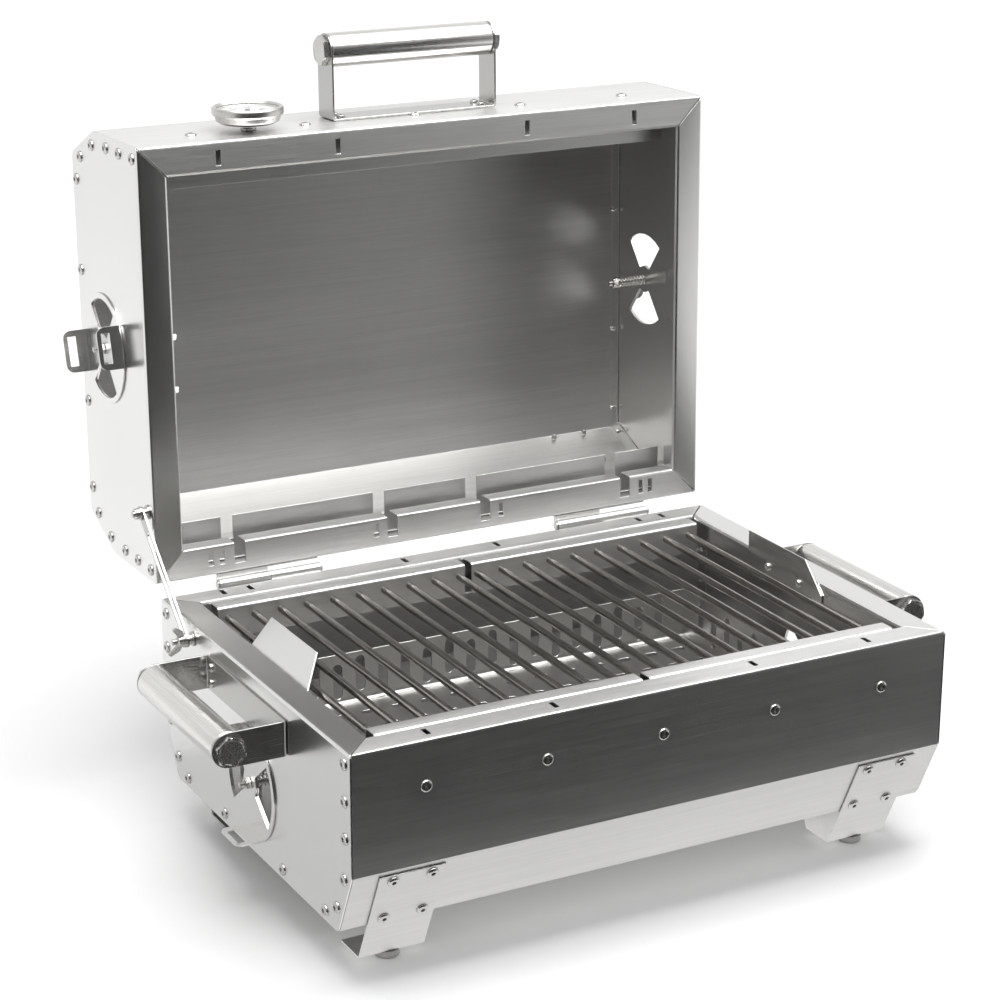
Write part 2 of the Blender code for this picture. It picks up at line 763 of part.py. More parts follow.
# ---- stay ------------------------------------------------------------------------------------
def make_stay_arm(name, mat, parent, location, angle):
    """Slotted bar. Its origin is the lid pivot; it runs to the stud on the base."""
    half = 0.0052
    slot = 0.0029
    low = -STAY_X
    high = low + 0.0015
    bm = bmesh.new()
    ends = [(0.0, pi / 2), (STAY_LENGTH + 0.0006, -pi / 2)]
    outline = []
    for centre, start in ends:
        outline += half_circle(centre, half, start, 8)
    extrude_outline(bm, outline, 0, low, high)
    arm = make_object(name, bm, mat)
    cut = bmesh.new()
    outline = []
    for centre, start in ((0.0215, pi / 2), (STAY_LENGTH + 0.0003, -pi / 2)):
        outline += half_circle(centre, slot, start, 6)
    extrude_outline(cut, outline, 0, low - 0.01, high + 0.01)
    hole = disc_object(0.0028, 12, 0, low - 0.01, high + 0.01)
    combine(arm, [make_object("tool", cut), hole], "DIFFERENCE")
    arm.data.transform(Matrix.Rotation(angle, 4, "X"))
    arm.parent = parent
    arm.location = location
    return arm


def make_stud(name, outer, mat, parent, location):
    """Stud on an end panel: washer and spacer, and where outer is set a shank with its nut too."""
    base = -HALF - GAP
    inner = -STAY_X + 0.0015 + GAP
    outside = -STAY_X - GAP
    profile = [(base, 0.0058), (base - 0.0012, 0.0058), (base - 0.0012, 0.0042), (inner, 0.0042)]
    if outer:
        profile += [(inner, 0.0025), (outside, 0.0025), (outside, 0.0058), (outside - 0.0010, 0.0058)]
        profile += [(outside - 0.0010, 0.0044), (outside - 0.0050, 0.0044), (outside - 0.0050, 0.0025)]
        profile += [(outside - 0.0065, 0.0025), (outside - 0.0070, 0.0020)]
    bm = bmesh.new()
    turned(bm, profile, 12)
    return make_object(name, bm, mat, parent, location, smooth=35)


def make_wing_nut(name, mat, parent, location):
    """Wing nut with the stud's end showing beyond it; the stay runs free behind it."""
    face = -STAY_X - GAP
    bm = bmesh.new()
    profile = [(face, 0.0058), (face - 0.0060, 0.0044), (face - 0.0070, 0.0025)]
    profile += [(face - 0.0105, 0.0025), (face - 0.0110, 0.0020)]
    turned(bm, profile, 12)
    nut = make_object(name, bm, mat, parent, location)
    wings = []
    for up in (-1, 1):
        wing = bmesh.new()
        outline = [
            (face - 0.0010, up * 0.0035), (face - 0.0035, up * 0.0105), (face - 0.0100, up * 0.0145),
            (face - 0.0120, up * 0.0125), (face - 0.0085, up * 0.0080), (face - 0.0055, up * 0.0035),
        ]
        extrude_outline(wing, outline, 1, -0.0010, 0.0010)
        wings.append(make_object("tool", wing))
    combine(nut, wings, "UNION")
    nut.data.transform(Matrix.Rotation(radians(24), 4, "X"))
    return nut


# ---- thermometer -----------------------------------------------------------------------------
def make_thermometer(mats, parent, location):
    """Dial on the lid's front wall. Frame: +Y out of the wall, origin on its outer face."""
    stem = bmesh.new()
    profile = [(-0.0400, 0.0020), (-0.0395, 0.0024), (-0.0060, 0.0024), (-0.0060, 0.0065)]
    profile += [(-0.0016, 0.0065), (-0.0016, 0.0034), (GAP, 0.0034), (GAP, 0.0062)]
    profile += [(0.0020, 0.0062), (0.0020, 0.0040), (0.0044, 0.0040)]
    turned(stem, profile, 16, axis=1)
    make_object("thermometer_stem", stem, mats["fastener"], parent, location, smooth=35)
    case = bmesh.new()
    base = 0.0083
    wall = DIAL_R
    under = 0.0047
    ring = [(under, 0.0), (under, 0.0085), (under + 0.0012, 0.0215), (under + 0.0030, wall - 0.0032)]
    ring += [(base + 0.0030, wall - 0.0026), (base + 0.0042, wall - 0.0004), (base + 0.0085, wall)]
    ring += [(base + 0.0100, wall), (base + 0.0108, wall - 0.0010), (base + 0.0092, wall - 0.0040)]
    ring += [(base + 0.0055, wall - 0.0046), (base + 0.0055, 0.0)]
    turned(case, [(p, max(r, 1e-4)) for p, r in ring], 28, axis=1)
    make_object("thermometer_case", case, mats["polished"], parent, location, smooth=35)
    face = bmesh.new()
    turned(face, [(base + 0.0058, 0.0232), (base + 0.0064, 0.0232)], 28, axis=1)
    make_object("thermometer_face", face, mats["dial"], parent, location)
    glass = bmesh.new()
    turned(glass, [(base + 0.0082, 0.0233), (base + 0.0091, 0.0233)], 28, axis=1)
    make_object("thermometer_glass", glass, mats["glass"], parent, location)
    needle = bmesh.new()
    outline = [(-0.0050, -0.0008), (0.0150, -0.0008), (0.0190, 0.0), (0.0150, 0.0008), (-0.0050, 0.0008)]
    extrude_outline(needle, outline, 1, base + 0.0068, base + 0.0073)
    obj = make_object("thermometer_needle", needle, mats["needle"], parent, location)
    hub = disc_object(0.0020, 12, 1, base + 0.0067, base + 0.0077)
    combine(obj, [hub], "UNION")
    obj.data.transform(Matrix.Rotation(radians(-125), 4, "Y"))


# ---- assembly --------------------------------------------------------------------------------
def make_materials():
    return {
        "sheet": make_material("satin_sheet", (0.62, 0.61, 0.59), 0.32, 1.0),
        "panel": make_material("bright_panel", (0.74, 0.73, 0.71), 0.30, 1.0),
        "strap": make_material("strap_sheet", (0.52, 0.51, 0.49), 0.34, 1.0),
        "tube": make_material("polished_tube", (0.70, 0.69, 0.67), 0.22, 1.0),
        "rod": make_material("grate_rod", (0.46, 0.44, 0.41), 0.35, 1.0),
        "fastener": make_material("fastener", (0.60, 0.59, 0.57), 0.28, 1.0),
        "polished": make_material("polished_case", (0.78, 0.77, 0.75), 0.15, 1.0),
        "dial": make_material("dial_white", (0.85, 0.85, 0.83), 0.50, 0.0),
        "glass": make_material("dial_glass", (0.90, 0.92, 0.92), 0.05, 0.0),
        "needle": make_material("needle_dark", (0.05, 0.05, 0.05), 0.50, 0.0),
        "pad": make_material("foot_pad", (0.45, 0.44, 0.42), 0.45, 0.6),
    }


def make_box_ends(tag, mats, parent, ear_turn, location=(0.0, 0.0, 0.0)):
    """End panels with their air dampers, the same on the base and on the lid."""
    for side, word in ((-1, "left"), (1, "right")):
        make_end(tag + "_end_" + word, side, mats["panel"], parent, location)
        start = Vector(location)
        axis = start + Vector((side * (HALF + GAP), DAMPER_Y, DAMPER_Z))
        make_damper(tag + "_damper_" + word, side, mats["panel"], parent, axis, ear_turn)
        make_damper_screw(tag + "_damper_screw_" + word, side, mats["fastener"], parent, axis)
        inner = start + Vector((side * (HALF - SHEET), DAMPER_Y, DAMPER_Z))
        make_damper_spring(tag + "_damper_spring_" + word, side, mats["fastener"], parent, inner)


def make_base(mats, parent):
    shell = make_shell("base_shell", mats["sheet"], parent, base_slots())
    combine(shell, [front_rivets()], "UNION")
    make_box_ends("base", mats, parent, 0.0)
    make_rail("base_rail_front", False, False, mats["sheet"], parent)
    make_rail("base_rail_rear", True, False, mats["sheet"], parent)
    make_guide("guide_plate_left", -1, 0.0209, mats["panel"], parent)
    make_guide("guide_plate_right", 1, 0.0, mats["strap"], parent)
    for side, word in ((-1, "left"), (1, "right")):
        turn = Matrix(((0, 0, side, 0), (side, 0, 0, 0), (0, 1, 0, 0), (0, 0, 0, 1)))
        place = (side * HALF, SIDE_GRIP_Y, SIDE_GRIP_Z)
        make_grip(word, SIDE_GRIP_OUT, mats, parent, place, turn)
        for back, where in ((False, "front"), (True, "rear")):
            make_foot("foot_" + where + "_" + word, side, back, mats["sheet"], parent)
            make_pad("foot_pad_" + where + "_" + word, side, back, mats["pad"], parent)
    make_stud("stay_stud", False, mats["fastener"], parent, (0.0, *STUD))
    make_wing_nut("wing_nut", mats["fastener"], parent, (0.0, *STUD))


def make_contents(mats, parent):
    make_grate("grate_left", -1, mats["rod"], parent)
    make_grate("grate_right", 1, mats["rod"], parent)
    make_tray("charcoal_tray", mats["sheet"], parent)


def make_lid(mats, parent, corner):
    shell = make_shell("lid_shell", mats["sheet"], parent, lid_slots(), corner)
    hole = disc_object(0.0037, 16, 1, DEEP - 0.01, DEEP + 0.01, (DIAL_X, -DIAL_DEPTH))
    combine(shell, [lid_notches(), hole], "DIFFERENCE")
    make_box_ends("lid", mats, parent, LID_EAR_TURN, corner)
    make_rail("lid_rail_rear", False, True, mats["sheet"], parent, corner)
    rail = make_rail("lid_rail_front", True, False, mats["sheet"], parent, corner)
    room = disc_object(0.0070, 16, 1, DEEP - 0.01, DEEP + 0.01, (DIAL_X, -DIAL_DEPTH))
    combine(rail, [room], "DIFFERENCE")
    start = Vector(corner)
    turn = Matrix(((1, 0, 0, 0), (0, 0, 1, 0), (0, -1, 0, 0), (0, 0, 0, 1)))
    place = start + Vector((LID_GRIP_X, DEEP, -LID_GRIP_DEPTH))
    make_grip("lid", LID_GRIP_OUT, mats, parent, place, turn)
    make_thermometer(mats, parent, start + Vector((DIAL_X, DEEP, -DIAL_DEPTH)))
    make_stud("stay_pivot", True, mats["fastener"], parent, start + Vector((0.0, *STAY_PIVOT)))


def make_stay(mats, lid, corner):
    """The arm is hung on the lid and points at the stud on the base."""
    pivot = Vector(corner) + Vector((0.0, *STAY_PIVOT))
    lean = radians(90.0 - LID_LEAN)
    world = Matrix.Rotation(lean, 4, "X") @ pivot + Vector((0.0, HINGE_Y, HINGE_Z))
    reach = Vector((0.0, *STUD)) - world
    aim = Matrix.Rotation(-lean, 4, "X") @ reach
    angle = Vector((1.0, 0.0)).angle_signed(Vector((aim.y, aim.z)))
    make_stay_arm("stay_arm", mats["strap"], lid, pivot, -angle)


def make_hinges(mats, base, lid):
    axis = (0.0, HINGE_Y, HINGE_Z)
    for side, word in ((-1, "left"), (1, "right")):
        x = side * HINGE_X
        make_leaf("hinge_leaf_base_" + word, x, 1, False, mats["strap"], base, axis)
        make_leaf("hinge_leaf_lid_" + word, x, -1, True, mats["strap"], lid, (0.0, 0.0, 0.0))
        make_hinge_pin("hinge_pin_" + word, x, mats["fastener"], base, axis)


def main():
    clear_scene()
    mats = make_materials()
    base = make_empty("grill", (0.0, -CENTRE_Y, -GROUND_Z))
    lid = make_empty("lid_hinge", (0.0, HINGE_Y, HINGE_Z), base, radians(90.0 - LID_LEAN))
    corner = (0.0, HINGE_Y - DEEP, -LID_GAP)
    make_base(mats, base)
    make_contents(mats, base)
    make_lid(mats, lid, corner)
    make_stay(mats, lid, corner)
    make_hinges(mats, base, lid)


main()
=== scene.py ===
import json
from math import cos, pi, radians, sin

import bmesh
import bpy
from mathutils import Matrix, Vector


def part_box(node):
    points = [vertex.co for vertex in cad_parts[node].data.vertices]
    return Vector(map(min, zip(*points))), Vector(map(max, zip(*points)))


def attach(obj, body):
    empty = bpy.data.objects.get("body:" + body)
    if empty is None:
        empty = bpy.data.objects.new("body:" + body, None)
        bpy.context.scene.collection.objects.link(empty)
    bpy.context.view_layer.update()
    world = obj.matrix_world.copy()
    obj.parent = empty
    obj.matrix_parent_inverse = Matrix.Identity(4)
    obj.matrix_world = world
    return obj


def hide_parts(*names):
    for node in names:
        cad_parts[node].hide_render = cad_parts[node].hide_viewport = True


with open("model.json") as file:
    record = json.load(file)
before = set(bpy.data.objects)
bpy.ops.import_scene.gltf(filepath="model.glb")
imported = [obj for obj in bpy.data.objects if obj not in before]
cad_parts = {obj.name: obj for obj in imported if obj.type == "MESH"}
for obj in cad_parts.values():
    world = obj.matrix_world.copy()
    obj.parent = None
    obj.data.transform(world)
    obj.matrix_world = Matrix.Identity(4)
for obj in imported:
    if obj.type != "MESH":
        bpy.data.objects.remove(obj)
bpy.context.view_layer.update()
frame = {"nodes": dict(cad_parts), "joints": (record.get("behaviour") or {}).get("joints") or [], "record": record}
scene = bpy.context.scene

# places: the base and the lid are the same box, so one set of box measures serves both
endLow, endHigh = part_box("base_end_left")
half = -endLow.x                      # out to an end panel's face
deep = endHigh.y - endLow.y           # front face to back face
lidJoint = next(j for j in frame["joints"] if j["name"] == "lid_hinge")
hinge = Vector(lidJoint["pos_m"])
lidTurn = pi - radians(lidJoint["range_deg"][1])
rimGap = 0.0012                       # hinge axis to the lid's rims
basePlace = Matrix.Translation((0, endLow.y, endHigh.z))
lidPlace = Matrix.Translation(hinge) @ Matrix.Rotation(lidTurn, 4, "X")
lidPlace = lidPlace @ Matrix.Translation((0, hinge.y - endHigh.y, -rimGap))
places = {"base": basePlace, "lid": lidPlace}
bodies = frame["record"]["behaviour"]["bodies"]
bodyOf = {node: body for body, nodes in bodies.items() for node in nodes}


# ---------- materials
def newMaterial(name):
    mat = bpy.data.materials.new(name)
    mat.use_nodes = True
    tree = mat.node_tree
    return mat, tree, tree.nodes["Principled BSDF"]


def stretchedNoise(tree, scale, detail=3, roughness=0.6):
    coord = tree.nodes.new("ShaderNodeTexCoord")
    mapping = tree.nodes.new("ShaderNodeMapping")
    mapping.inputs["Scale"].default_value = scale
    noise = tree.nodes.new("ShaderNodeTexNoise")
    noise.inputs["Scale"].default_value = 1
    noise.inputs["Detail"].default_value = detail
    noise.inputs["Roughness"].default_value = roughness
    tree.links.new(coord.outputs["Object"], mapping.inputs["Vector"])
    tree.links.new(mapping.outputs["Vector"], noise.inputs["Vector"])
    return noise.outputs["Fac"]


def mapped(tree, value, low, high, start=0.3, end=0.7):
    node = tree.nodes.new("ShaderNodeMapRange")
    node.inputs["From Min"].default_value = start
    node.inputs["From Max"].default_value = end
    node.inputs["To Min"].default_value = low
    node.inputs["To Max"].default_value = high
    tree.links.new(value, node.inputs["Value"])
    return node.outputs["Result"]


def colourMix(tree, factor, low, high):
    node = tree.nodes.new("ShaderNodeMix")
    node.data_type = "RGBA"
    node.inputs["A"].default_value = (*low, 1)
    node.inputs["B"].default_value = (*high, 1)
    tree.links.new(factor, node.inputs["Factor"])
    return node.outputs["Result"]


def bumped(tree, shader, height, strength, distance):
    bump = tree.nodes.new("ShaderNodeBump")
    bump.inputs["Strength"].default_value = strength
    bump.inputs["Distance"].default_value = distance
    tree.links.new(height, bump.inputs["Height"])
    tree.links.new(bump.outputs["Normal"], shader.inputs["Normal"])


def steel(name, look):
    mat, tree, shader = newMaterial(name)
    across, along = look["across"], look["along"]
    grain = [across, across, across]
    if look["grain"] != "none":
        grain["XYZ".index(look["grain"])] = along
    fine = stretchedNoise(tree, grain, 4, 0.75)
    broad = stretchedNoise(tree, [g * 0.16 for g in grain], 2)
    cloud = stretchedNoise(tree, (7, 7, 7), 2)
    total = tree.nodes.new("ShaderNodeMath")
    total.operation = "MULTIPLY_ADD"
    total.inputs[1].default_value = 0.5
    tree.links.new(broad, total.inputs[0])
    tree.links.new(mapped(tree, fine, 0, 0.5), total.inputs[2])
    tone, streak, dark = Vector(look["tone"]), look["streak"], 1 - look["cloud"]
    streaks = colourMix(tree, total.outputs[0], tone * (1 - streak), tone * (1 + streak))
    shade = colourMix(tree, cloud, (dark, dark, dark), (1, 1, 1))
    smudge = tree.nodes.new("ShaderNodeMix")
    smudge.data_type = "RGBA"
    smudge.blend_type = "MULTIPLY"
    smudge.inputs["Factor"].default_value = 1
    tree.links.new(streaks, smudge.inputs["A"])
    tree.links.new(shade, smudge.inputs["B"])
    tree.links.new(smudge.outputs["Result"], shader.inputs["Base Color"])
    shader.inputs["Metallic"].default_value = 1
    rough, spread = look["rough"], look["spread"]
    tree.links.new(mapped(tree, fine, rough - spread, rough + spread), shader.inputs["Roughness"])
    bumped(tree, shader, fine, look["bump"], 0.0003)
    return mat


brushed = {"tone": (0.60, 0.595, 0.585), "rough": 0.38, "spread": 0.05, "grain": "X", "along": 18,
           "across": 1500, "streak": 0.16, "cloud": 0.08, "bump": 0.42}
satin = dict(brushed, tone=(0.74, 0.735, 0.72), rough=0.25, spread=0.02, streak=0.02, bump=0.02)
tube = dict(brushed, tone=(0.70, 0.69, 0.67), rough=0.26, across=2600, bump=0.06)
grainless = dict(brushed, grain="none")
looks = {
    "wallSteel": brushed,
    "lidSteel": dict(brushed, tone=(0.66, 0.655, 0.645)),
    "baseEndSteel": dict(satin, grain="Y"),
    "lidEndSteel": dict(satin, grain="Z"),
    "strapSteel": dict(brushed, tone=(0.46, 0.455, 0.44), rough=0.24, across=2200, streak=0.05, bump=0.04),
    "tubeSteelY": dict(tube, grain="Y"),
    "tubeSteelX": tube,
    "rodSteel": dict(brushed, tone=(0.33, 0.315, 0.295), rough=0.22, grain="Y", across=2200, streak=0.14,
                     bump=0.06),
    "traySteel": dict(brushed, tone=(0.50, 0.495, 0.48), rough=0.33, bump=0.03, streak=0.04),
    "fastenerSteel": dict(grainless, tone=(0.56, 0.55, 0.53), rough=0.27, across=900, bump=0.03),
    "polishedSteel": dict(grainless, tone=(0.58, 0.57, 0.55), rough=0.30, across=700, bump=0.02),
}
materials = {name: steel(name, look) for name, look in looks.items()}


def plain(name, look):
    # paint, print and moulded pads: a fine speckle and a soft bump
    mat, tree, shader = newMaterial(name)
    speck = stretchedNoise(tree, (look["scale"],) * 3, 3)
    tone, rough = Vector(look["tone"]), look["rough"]
    colour = colourMix(tree, speck, tone * (1 - look["vary"]), tone * (1 + look["vary"]))
    tree.links.new(colour, shader.inputs["Base Color"])
    tree.links.new(mapped(tree, speck, rough - 0.05, rough + 0.05), shader.inputs["Roughness"])
    bumped(tree, shader, speck, look["bump"], 0.0002)
    return mat


plainLooks = {
    "dialWhite": {"tone": (0.62, 0.62, 0.60), "rough": 0.45, "scale": 900, "vary": 0.02, "bump": 0.03},
    "dialBlack": {"tone": (0.03, 0.03, 0.03), "rough": 0.45, "scale": 900, "vary": 0.10, "bump": 0.03},
    "padGrey": {"tone": (0.34, 0.335, 0.32), "rough": 0.55, "scale": 700, "vary": 0.12, "bump": 0.30},
}
for name, look in plainLooks.items():
    materials[name] = plain(name, look)


def clearGlass(name):
    mat, tree, shader = newMaterial(name)
    shader.inputs["Base Color"].default_value = (0.97, 0.98, 0.98, 1)
    shader.inputs["Transmission Weight"].default_value = 0.95
    shader.inputs["IOR"].default_value = 1.06
    smear = stretchedNoise(tree, (60, 60, 60), 3)
    tree.links.new(mapped(tree, smear, 0.01, 0.06), shader.inputs["Roughness"])
    return mat


materials["dialGlass"] = clearGlass("dialGlass")
print("materials", len(materials))


# ---------- making pieces
def newObject(name, data):
    ob = bpy.data.objects.new(name, data)
    scene.collection.objects.link(ob)
    return ob


def meshFrom(name, bm):
    mesh = bpy.data.meshes.new(name)
    bm.to_mesh(mesh)
    bm.free()
    return mesh


def addRings(bm, rings):
    # a closed body through rings of points, capped at both ends
    loops = [[bm.verts.new(point) for point in ring] for ring in rings]
    for a, b in zip(loops, loops[1:]):
        for i in range(len(a)):
            j = (i + 1) % len(a)
            bm.faces.new((a[i], a[j], b[j], b[i]))
    bm.faces.new(loops[0])
    bm.faces.new(loops[-1])


def addMaterial(ob, name):
    ob.data.materials.clear()
    ob.data.materials.append(materials[name])
    return ob


def smoothByAngle(mesh, angle=32):
    mesh.shade_smooth()
    mesh.set_sharp_from_angle(angle=radians(angle))


def pieceFrom(name, bm, material, place=None, angle=32):
    bmesh.ops.recalc_face_normals(bm, faces=bm.faces)
    mesh = meshFrom(name, bm)
    if place:
        mesh.transform(place)
    smoothByAngle(mesh, angle)
    return addMaterial(newObject(name, mesh), material)


def applyStack(ob):
    evaluated = ob.evaluated_get(bpy.context.evaluated_depsgraph_get())
    mesh = bpy.data.meshes.new_from_object(evaluated)
    ob.modifiers.clear()
    ob.data = mesh


def addBevel(ob, width, segments=2, angle=30):
    bevel = ob.modifiers.new("softEdges", "BEVEL")
    bevel.width = width
    bevel.segments = segments
    bevel.limit_method = "ANGLE"
    bevel.angle_limit = radians(angle)
    flat = ob.modifiers.new("flatFaces", "WEIGHTED_NORMAL")
    flat.keep_sharp = True
    flat.weight = 100


def softened(node, material, width=0.00025):
    # a sheet-metal piece as it was folded and cut, with its sharp edges eased
    bm = bmesh.new()
    bm.from_mesh(frame["nodes"][node].data)
    bmesh.ops.remove_doubles(bm, verts=bm.verts, dist=0.00001)
    bmesh.ops.dissolve_limit(bm, angle_limit=radians(0.6), verts=bm.verts, edges=bm.edges)
    mesh = meshFrom(node + "_skin", bm)
    smoothByAngle(mesh)
    ob = addMaterial(newObject(mesh.name, mesh), material)
    addBevel(ob, width)
    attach(ob, bodyOf[node])
    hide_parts(node)
    return ob


core = 0.00001                        # a profile starts and ends this close to its axis


def turned(name, profile, steps, material, place, angle=35):
    # profile runs top to bottom as (radius, height) and is turned about Z
    bm = bmesh.new()
    verts = [bm.verts.new((r, 0, h)) for r, h in profile]
    for a, b in zip(verts, verts[1:]):
        bm.edges.new((a, b))
    mesh = meshFrom(name, bm)
    ob = newObject(name, mesh)
    screw = ob.modifiers.new("turn", "SCREW")
    screw.steps = steps
    screw.render_steps = steps
    screw.use_merge_vertices = True
    screw.merge_threshold = 0.00001
    applyStack(ob)
    ob.data.transform(place)
    smoothByAngle(ob.data, angle)
    return addMaterial(ob, material)


def joined(name, parts, material):
    # several meshes made one, each already in its place
    bm = bmesh.new()
    for part in parts:
        bm.from_mesh(part.data)
    for part in parts:
        old = part.data
        bpy.data.objects.remove(part)
        bpy.data.meshes.remove(old)
    mesh = meshFrom(name, bm)
    smoothByAngle(mesh, 35)
    return addMaterial(newObject(name, mesh), material)


def facing(point, outward, spin=0.0):
    # a place whose Z looks outward
    turn = Vector(outward).to_track_quat("Z", "Y").to_matrix().to_4x4()
    return Matrix.Translation(point) @ turn @ Matrix.Rotation(spin, 4, "Z")


def scattered(name, source, spots, body, angle=35):
    # one small fitting repeated at every spot
    bm = bmesh.new()
    for spot in spots:
        copy = source.data.copy()
        copy.transform(spot)
        bm.from_mesh(copy)
        bpy.data.meshes.remove(copy)
    mesh = meshFrom(name, bm)
    smoothByAngle(mesh, angle)
    ob = addMaterial(newObject(name, mesh), source.data.materials[0].name)
    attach(ob, body)
    return ob


def discard(ob):
    mesh = ob.data
    bpy.data.objects.remove(ob)
    bpy.data.meshes.remove(mesh)


# ---------- sheet metal
skins = {
    "wallSteel": ["base_rail_front", "base_rail_rear", "foot_front_left", "foot_front_right",
                  "foot_rear_left", "foot_rear_right", "hinge_leaf_base_left", "hinge_leaf_base_right",
                  "hinge_leaf_lid_left", "hinge_leaf_lid_right"],
    "lidSteel": ["lid_shell", "lid_rail_front", "lid_rail_rear"],
    "baseEndSteel": ["base_end_left", "base_end_right", "base_damper_left", "base_damper_right",
                     "guide_plate_left", "guide_plate_right"],
    "lidEndSteel": ["lid_end_left", "lid_end_right", "lid_damper_left", "lid_damper_right"],
    "strapSteel": ["handle_bracket_left", "handle_bracket_right", "handle_bracket_lid", "stay_arm"],
    "fastenerSteel": ["hinge_pin_left", "hinge_pin_right", "stay_stud", "stay_pivot", "wing_nut",
                      "thermometer_stem"],
}
for material, nodes in skins.items():
    for node in nodes:
        softened(node, material)


def baseShell():
    # the rivet heads of the front wall are made again below, rounder
    ob = softened("base_shell", "wallSteel")
    bm = bmesh.new()
    bm.from_mesh(ob.data)
    proud = [v for v in bm.verts if v.co.y < endLow.y - 0.0001]
    bmesh.ops.delete(bm, geom=proud, context="VERTS")
    bm.to_mesh(ob.data)
    bm.free()
    return ob


baseShell()
print("sheet metal")

# ---------- rivets
walls = {"wall": 0.0930, "chamfer": 0.0236, "shell": 0.1437, "rivetDepth": 0.0345}
rivet = {"radius": 0.0047, "height": 0.0019, "bore": 0.0017, "pin": 0.0004, "crest": 0.0020,
         "tail": 0.0024, "tailLong": 0.0048, "sheets": 0.0028}
endRivets = [(0.0095, 0.010), (0.0095, 0.038), (0.0095, 0.066), (0.0120, 0.098),
             (0.0250, 0.125), (0.0445, 0.136), (0.1180, 0.136)]
frontRivets = [-0.192, -0.096, 0.0, 0.096, 0.192]


def rivetHead():
    r, h, bore, pin, crest = (rivet[key] for key in ("radius", "height", "bore", "pin", "crest"))
    profile = [(core, pin), (bore, pin), (bore, h * 0.94), (crest, h)]
    for i in range(1, 7):
        angle = i / 6 * pi / 2
        profile.append((crest + (r - crest) * sin(angle), h * (0.12 + 0.88 * cos(angle))))
    profile.append((r, -0.0002))
    return turned("rivet", profile, 24, "fastenerSteel", Matrix.Identity(4), 40)


def rivetTail():
    # the upset end of a blind rivet, seen from inside the box
    r, h = rivet["tail"], rivet["tailLong"]
    profile = [(core, h), (r * 0.55, h), (r * 0.62, h - 0.0004)]
    for i in range(7):
        angle = i / 6 * pi
        profile.append((r * (0.72 + 0.28 * sin(angle)), h - 0.0006 - (h - 0.0006) * i / 6))
    profile.append((r * 0.72, -0.0004))
    return turned("tail", profile, 16, "fastenerSteel", Matrix.Identity(4), 40)


def endSpots(place, side, inside=0.0):
    spots = []
    for y, depth in endRivets:
        for along in (y, deep - y):
            outward = (-side if inside else side, 0, 0)
            spots.append(place @ facing((side * (half - inside), along, -depth), outward))
    return spots


def wallSpots(place, back):
    y = deep if back else 0.0
    return [place @ facing((x, y, -walls["rivetDepth"]), (0, 1 if back else -1, 0)) for x in frontRivets]


rivetSource = rivetHead()
tailSource = rivetTail()
for tag, place in places.items():
    for side, word in ((-1, "left"), (1, "right")):
        scattered(f"{tag}_rivets_{word}", rivetSource, endSpots(place, side), tag)
        scattered(f"{tag}_rivet_tails_{word}", tailSource, endSpots(place, side, rivet["sheets"]), tag)
    for back, word in ((False, "front"), (True, "rear")):
        scattered(f"{tag}_rivets_{word}", rivetSource, wallSpots(place, back), tag)

foot = {"xs": (0.1860, 0.2165), "zs": (-0.1030, -0.1385), "lift": 0.0015, "skin": 0.0012}
slope = walls["chamfer"] / (walls["shell"] - walls["wall"])
lean = (1 + slope * slope) ** 0.5


def footSpots(place, side, back, lift, inside):
    # four spots on a chamfer, lifted off its outer face or sunk to its inner one
    spots = []
    for x in foot["xs"]:
        for z in foot["zs"]:
            y = (-walls["wall"] - z) * slope - lift * lean
            out = Vector((0, -1, -slope))
            if back:
                y, out.y = deep - y, 1
            spots.append(place @ facing((side * x, y, z), -out if inside else out))
    return spots


def allFeet(place, lift, inside=False):
    corners = [(side, back) for side in (-1, 1) for back in (False, True)]
    return [spot for side, back in corners for spot in footSpots(place, side, back, lift, inside)]


scattered("foot_rivets", rivetSource, allFeet(basePlace, foot["lift"]), "base")
scattered("foot_rivet_tails", tailSource, allFeet(basePlace, -foot["skin"], True), "base")
# the lid is cut from the same blank, so its foot holes are closed with rivets
scattered("lid_chamfer_rivets", rivetSource, allFeet(lidPlace, 0.0), "lid")
scattered("lid_chamfer_rivet_tails", tailSource, allFeet(lidPlace, -foot["skin"], True), "lid")
discard(rivetSource)
discard(tailSource)
print("rivets")


# ---------- handles
grip = {"edge": 0.0012, "wall": 0.0040, "headThick": 0.0050, "flats": 0.0210, "boltTurn": 11, "steps": 72}
directions = {"x": Vector((1, 0, 0)), "y": Vector((0, 1, 0))}


def gripTube(tag, axis):
    low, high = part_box("handle_tube_" + tag)
    centre = (low + high) / 2
    long = (high - low)["xyz".index(axis)] / 2
    r = (high - low).z / 2
    edge = grip["edge"]
    profile = [(r - grip["wall"], long)]
    for i in range(5):
        angle = i / 4 * pi / 2
        profile.append((r - edge + edge * sin(angle), long - edge + edge * cos(angle)))
    profile += [(radius, -height) for radius, height in reversed(profile)]
    material = "tubeSteel" + axis.upper()
    ob = turned(f"grip_tube_{tag}", profile, grip["steps"], material, facing(centre, directions[axis]), 50)
    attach(ob, bodyOf["handle_tube_" + tag])
    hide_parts("handle_tube_" + tag)


def hexRing(flats, height, count, limit):
    # a ring on a hexagon's outline, kept within a round limit
    ring = []
    for i in range(count):
        angle = 2 * pi * i / count
        wedge = (angle + pi / 6) % (pi / 3) - pi / 6
        radius = min(flats / 2 / cos(wedge), limit)
        ring.append((radius * cos(angle), radius * sin(angle), height))
    return ring


